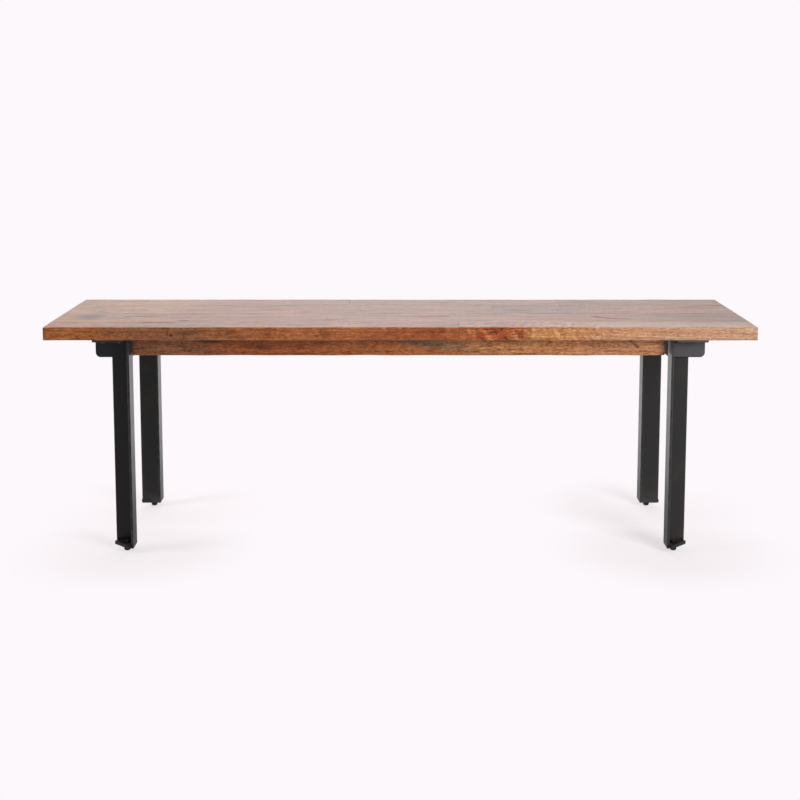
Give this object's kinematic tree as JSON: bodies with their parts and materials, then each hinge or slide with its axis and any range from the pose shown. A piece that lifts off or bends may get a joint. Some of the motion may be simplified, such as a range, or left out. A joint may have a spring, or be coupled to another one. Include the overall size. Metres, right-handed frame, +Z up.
{
  "type": "entryway bench",
  "caption": "Long low bench with a glued plank seat, wooden rails and black angle-iron legs on levelling feet.",
  "frame": {"origin": "on the floor under the middle of the seat", "axes": "X along the seat, -Y to the front edge, Z up"},
  "size_m": [1.3718, 0.3806, 0.451],
  "materials": {
    "seat_wood": "warm brown stain under a satin clear coat, glued boards",
    "rail_wood": "warm brown stain under a satin clear coat",
    "black_iron": "black satin powder coat on hot-rolled angle",
    "screw_steel": "black oxide",
    "stud_zinc": "bright zinc plate",
    "glide_nylon": "black moulded nylon"
  },
  "bodies": {
    "bench_frame": {"board_front_left": "seat_wood", "board_front_middle": "seat_wood", "board_front_right": "seat_wood", "board_inner_front_left": "seat_wood", "board_inner_front_right": "seat_wood", "board_inner_rear_left": "seat_wood", "board_inner_rear_middle": "seat_wood", "board_inner_rear_right": "seat_wood", "board_rear_left": "seat_wood", "board_rear_middle": "seat_wood", "board_rear_right": "seat_wood", "front_rail": "rail_wood", "rear_rail": "rail_wood", "crossbar_left": "black_iron", "crossbar_right": "black_iron", "leg_front_left": "black_iron", "leg_bracket_front_left": "black_iron", "foot_plate_front_left": "black_iron", "foot_nut_front_left": "black_iron", "leg_front_right": "black_iron", "leg_bracket_front_right": "black_iron", "foot_plate_front_right": "black_iron", "foot_nut_front_right": "black_iron", "leg_rear_left": "black_iron", "leg_bracket_rear_left": "black_iron", "foot_plate_rear_left": "black_iron", "foot_nut_rear_left": "black_iron", "leg_rear_right": "black_iron", "leg_bracket_rear_right": "black_iron", "foot_plate_rear_right": "black_iron", "foot_nut_rear_right": "black_iron", "bracket_screw_front_left_1": "screw_steel", "bracket_screw_front_left_2": "screw_steel", "bracket_screw_front_right_1": "screw_steel", "bracket_screw_front_right_2": "screw_steel", "bracket_screw_rear_left_1": "screw_steel", "bracket_screw_rear_left_2": "screw_steel", "bracket_screw_rear_right_1": "screw_steel", "bracket_screw_rear_right_2": "screw_steel", "crossbar_screw_left_1": "screw_steel", "crossbar_screw_left_2": "screw_steel", "crossbar_screw_right_1": "screw_steel", "crossbar_screw_right_2": "screw_steel", "rail_screw_front_1": "screw_steel", "rail_screw_front_2": "screw_steel", "rail_screw_front_3": "screw_steel", "rail_screw_front_4": "screw_steel", "rail_screw_rear_1": "screw_steel", "rail_screw_rear_2": "screw_steel", "rail_screw_rear_3": "screw_steel", "rail_screw_rear_4": "screw_steel"},
    "glide_front_left": {"foot_glide_front_left": "glide_nylon"},
    "stud_front_left": {"foot_stud_front_left": "stud_zinc"},
    "glide_front_right": {"foot_glide_front_right": "glide_nylon"},
    "stud_front_right": {"foot_stud_front_right": "stud_zinc"},
    "glide_rear_left": {"foot_glide_rear_left": "glide_nylon"},
    "stud_rear_left": {"foot_stud_rear_left": "stud_zinc"},
    "glide_rear_right": {"foot_glide_rear_right": "glide_nylon"},
    "stud_rear_right": {"foot_stud_rear_right": "stud_zinc"}
  },
  "joints": [
    {"name": "foot_height_front_left", "type": "slide", "parent": "bench_frame", "child": "glide_front_left", "axis": [0, 0, 1], "range_m": [-0.003, 0.0025]},
    {"name": "foot_turn_front_left", "type": "hinge", "parent": "glide_front_left", "child": "stud_front_left", "pos_m": [-0.5399, -0.1563, 0], "axis": [0, 0, 1], "range_deg": [-1081, 901]},
    {"name": "foot_height_front_right", "type": "slide", "parent": "bench_frame", "child": "glide_front_right", "axis": [0, 0, 1], "range_m": [-0.003, 0.0025]},
    {"name": "foot_turn_front_right", "type": "hinge", "parent": "glide_front_right", "child": "stud_front_right", "pos_m": [0.5399, -0.1563, 0], "axis": [0, 0, 1], "range_deg": [-1081, 901]},
    {"name": "foot_height_rear_left", "type": "slide", "parent": "bench_frame", "child": "glide_rear_left", "axis": [0, 0, 1], "range_m": [-0.003, 0.0025]},
    {"name": "foot_turn_rear_left", "type": "hinge", "parent": "glide_rear_left", "child": "stud_rear_left", "pos_m": [-0.5399, 0.1563, 0], "axis": [0, 0, 1], "range_deg": [-1081, 901]},
    {"name": "foot_height_rear_right", "type": "slide", "parent": "bench_frame", "child": "glide_rear_right", "axis": [0, 0, 1], "range_m": [-0.003, 0.0025]},
    {"name": "foot_turn_rear_right", "type": "hinge", "parent": "glide_rear_right", "child": "stud_rear_right", "pos_m": [0.5399, 0.1563, 0], "axis": [0, 0, 1], "range_deg": [-1081, 901]}
  ],
  "couplings": [
    {"joint": "foot_turn_front_left", "follows": "foot_height_front_left", "rad_per_m": 6283.2},
    {"joint": "foot_turn_front_right", "follows": "foot_height_front_right", "rad_per_m": 6283.2},
    {"joint": "foot_turn_rear_left", "follows": "foot_height_rear_left", "rad_per_m": 6283.2},
    {"joint": "foot_turn_rear_right", "follows": "foot_height_rear_right", "rad_per_m": 6283.2}
  ]
}
